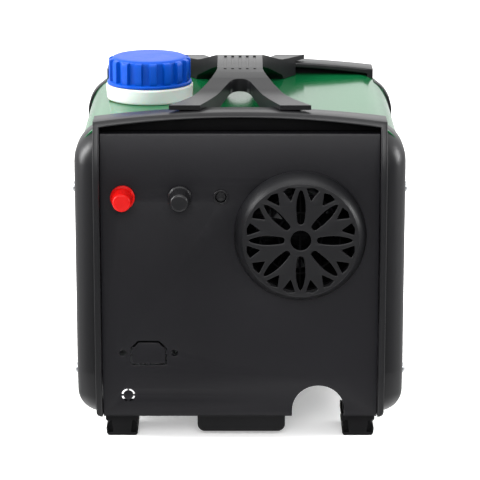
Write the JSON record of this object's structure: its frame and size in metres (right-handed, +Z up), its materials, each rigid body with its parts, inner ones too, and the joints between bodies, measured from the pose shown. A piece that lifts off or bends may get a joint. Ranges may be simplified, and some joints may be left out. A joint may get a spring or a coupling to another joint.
{
  "type": "diesel air heater",
  "caption": "Portable diesel air heater in a boxy case: green sheet cover, black end trims, saddle handle, blue filler cap, round intake grille and power posts.",
  "frame": {"origin": "on the floor, under the middle of the case", "axes": "+Z up; the intake end faces -Y, the outlet end +Y; +X is to the right seen from the intake end"},
  "size_m": [0.2598, 0.291, 0.2844],
  "materials": {
    "black_moulding": "satin, fine grain",
    "black_sheet": "powder coat, satin",
    "green_paint": "gloss",
    "blue_plastic": "satin",
    "red_plastic": "satin gloss",
    "white_plastic": "waxy, slightly see-through",
    "rubber": "matte",
    "steel": "bright plated",
    "aluminium": "as cast",
    "brass": "turned",
    "dark_glass": "gloss"
  },
  "bodies": {
    "case": {"front_arch": "black_moulding", "front_left_cheek": "black_moulding", "front_left_lower_screw": "steel", "front_left_upper_screw": "steel", "front_left_foot": "rubber", "front_right_cheek": "black_moulding", "front_right_lower_screw": "steel", "front_right_upper_screw": "steel", "front_right_foot": "rubber", "front_panel": "black_sheet", "rear_arch": "black_moulding", "rear_left_cheek": "black_moulding", "rear_left_lower_screw": "steel", "rear_left_upper_screw": "steel", "rear_left_foot": "rubber", "rear_right_cheek": "black_moulding", "rear_right_lower_screw": "steel", "rear_right_upper_screw": "steel", "rear_right_foot": "rubber", "rear_panel": "black_sheet", "cover": "green_paint", "base_pan": "black_sheet", "under_guard": "black_moulding", "handle": "black_moulding", "fuel_tank": "white_plastic", "tank_shelf": "steel", "filler_collar": "white_plastic", "red_post_base": "red_plastic", "red_post_stud": "brass", "black_post_base": "black_moulding", "black_post_stud": "brass", "button_barrel": "black_moulding", "intake_grille": "black_moulding", "fan_guard": "steel", "heater_housing": "black_moulding", "fan_motor": "aluminium", "burner_blower": "aluminium", "heat_exchanger": "aluminium", "air_stub": "aluminium", "exhaust_stub": "steel", "front_cradle": "steel", "rear_cradle": "steel", "control_unit": "black_moulding", "fuel_pump": "steel", "outlet_spigot": "black_moulding", "control_bezel": "black_moulding", "display_window": "dark_glass"},
    "cap_liner": {"cap_liner": "rubber"},
    "fuel_cap": {"fuel_cap": "blue_plastic"},
    "red_knob": {"red_post_knob": "red_plastic"},
    "black_knob": {"black_post_knob": "black_moulding"},
    "fan": {"fan_wheel": "black_moulding"},
    "reset_button": {"reset_button": "black_moulding"},
    "control_knob": {"control_knob": "black_moulding"}
  },
  "joints": [
    {"name": "cap_lift", "type": "slide", "parent": "case", "child": "cap_liner", "axis": [0, 0, 1], "range_m": [0, 0.05]},
    {"name": "cap_turn", "type": "hinge", "parent": "cap_liner", "child": "fuel_cap", "pos_m": [-0.0726, 0, 0.27], "axis": [0, 0, 1], "range_deg": [0, 450]},
    {"name": "red_knob_turn", "type": "hinge", "parent": "case", "child": "red_knob", "pos_m": [-0.0896, -0.137, 0.1973], "axis": [0, 1, 0], "range_deg": [0, 720]},
    {"name": "black_knob_turn", "type": "hinge", "parent": "case", "child": "black_knob", "pos_m": [-0.046, -0.137, 0.1973], "axis": [0, 1, 0], "range_deg": [0, 720]},
    {"name": "fan_spin", "type": "hinge", "parent": "case", "child": "fan", "pos_m": [0.0462, -0.102, 0.1672], "axis": [0, 1, 0], "continuous": true},
    {"name": "button_press", "type": "slide", "parent": "case", "child": "reset_button", "axis": [0, 1, 0], "range_m": [0, 0.002], "stiffness_N_per_m": 400},
    {"name": "control_turn", "type": "hinge", "parent": "case", "child": "control_knob", "pos_m": [-0.042, 0.135, 0.159], "axis": [0, 1, 0], "range_deg": [0, 270]}
  ]
}
